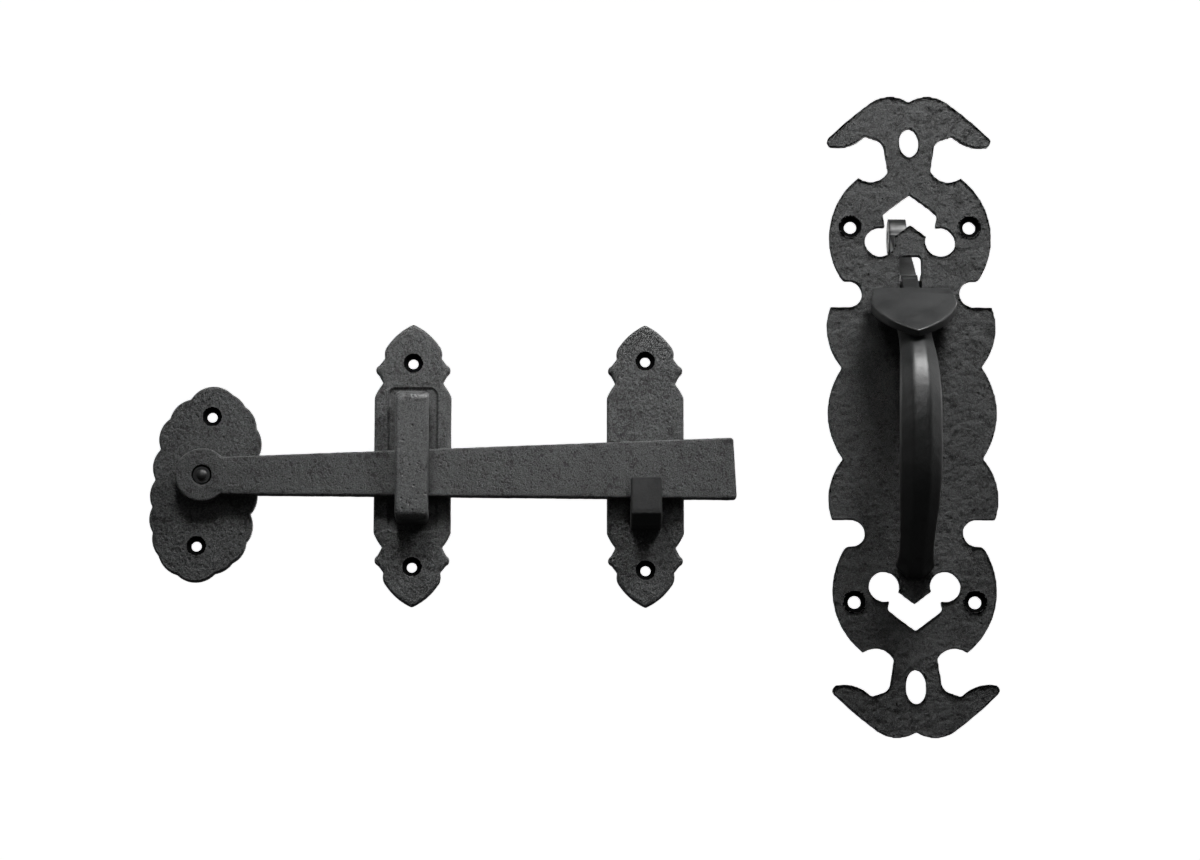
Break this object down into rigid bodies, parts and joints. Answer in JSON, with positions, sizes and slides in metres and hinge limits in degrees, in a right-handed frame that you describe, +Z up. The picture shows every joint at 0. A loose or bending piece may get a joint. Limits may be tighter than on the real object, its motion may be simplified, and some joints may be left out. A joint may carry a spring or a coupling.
{
  "type": "thumb latch",
  "caption": "Black iron thumb latch laid out flat: an ornate plate with a bow handle and thumb lever, beside a pivoted latch bar with its staple and hook.",
  "frame": {"origin": "middle of the handle plate's four screw holes, on the face that the plates are screwed to", "axes": "+Z up along the handle plate, +X to the right across the set, and the front of the set towards -Y; the door face is the plane Y = 0"},
  "size_m": [0.3636, 0.1167, 0.2802],
  "materials": {
    "black_casting": "black coated sand casting, satin",
    "black_bar_iron": "black coated iron with a fine cast grain, satin",
    "black_dressed_iron": "black coated iron, dressed smooth by hand",
    "black_steel": "black coated steel, satin"
  },
  "bodies": {
    "plates": {"handle_plate": "black_casting", "handle_grip": "black_dressed_iron", "lever_pivot_pin": "black_steel", "pivot_plate": "black_casting", "pivot_washer": "black_steel", "pivot_rivet": "black_steel", "guide_plate": "black_casting", "guide_staple": "black_bar_iron", "catch_plate": "black_casting", "catch_hook": "black_bar_iron"},
    "lever": {"thumb_lever": "black_dressed_iron"},
    "bar": {"latch_bar": "black_bar_iron"}
  },
  "joints": [
    {"name": "thumb_lever_hinge", "type": "hinge", "parent": "plates", "child": "lever", "pos_m": [0, 0.0044, 0.0579], "axis": [-1, 0, 0], "range_deg": [0, 35]},
    {"name": "latch_bar_hinge", "type": "hinge", "parent": "plates", "child": "bar", "pos_m": [-0.3041, -0.0088, -0.029], "axis": [0, -1, 0], "range_deg": [0, 10]}
  ]
}
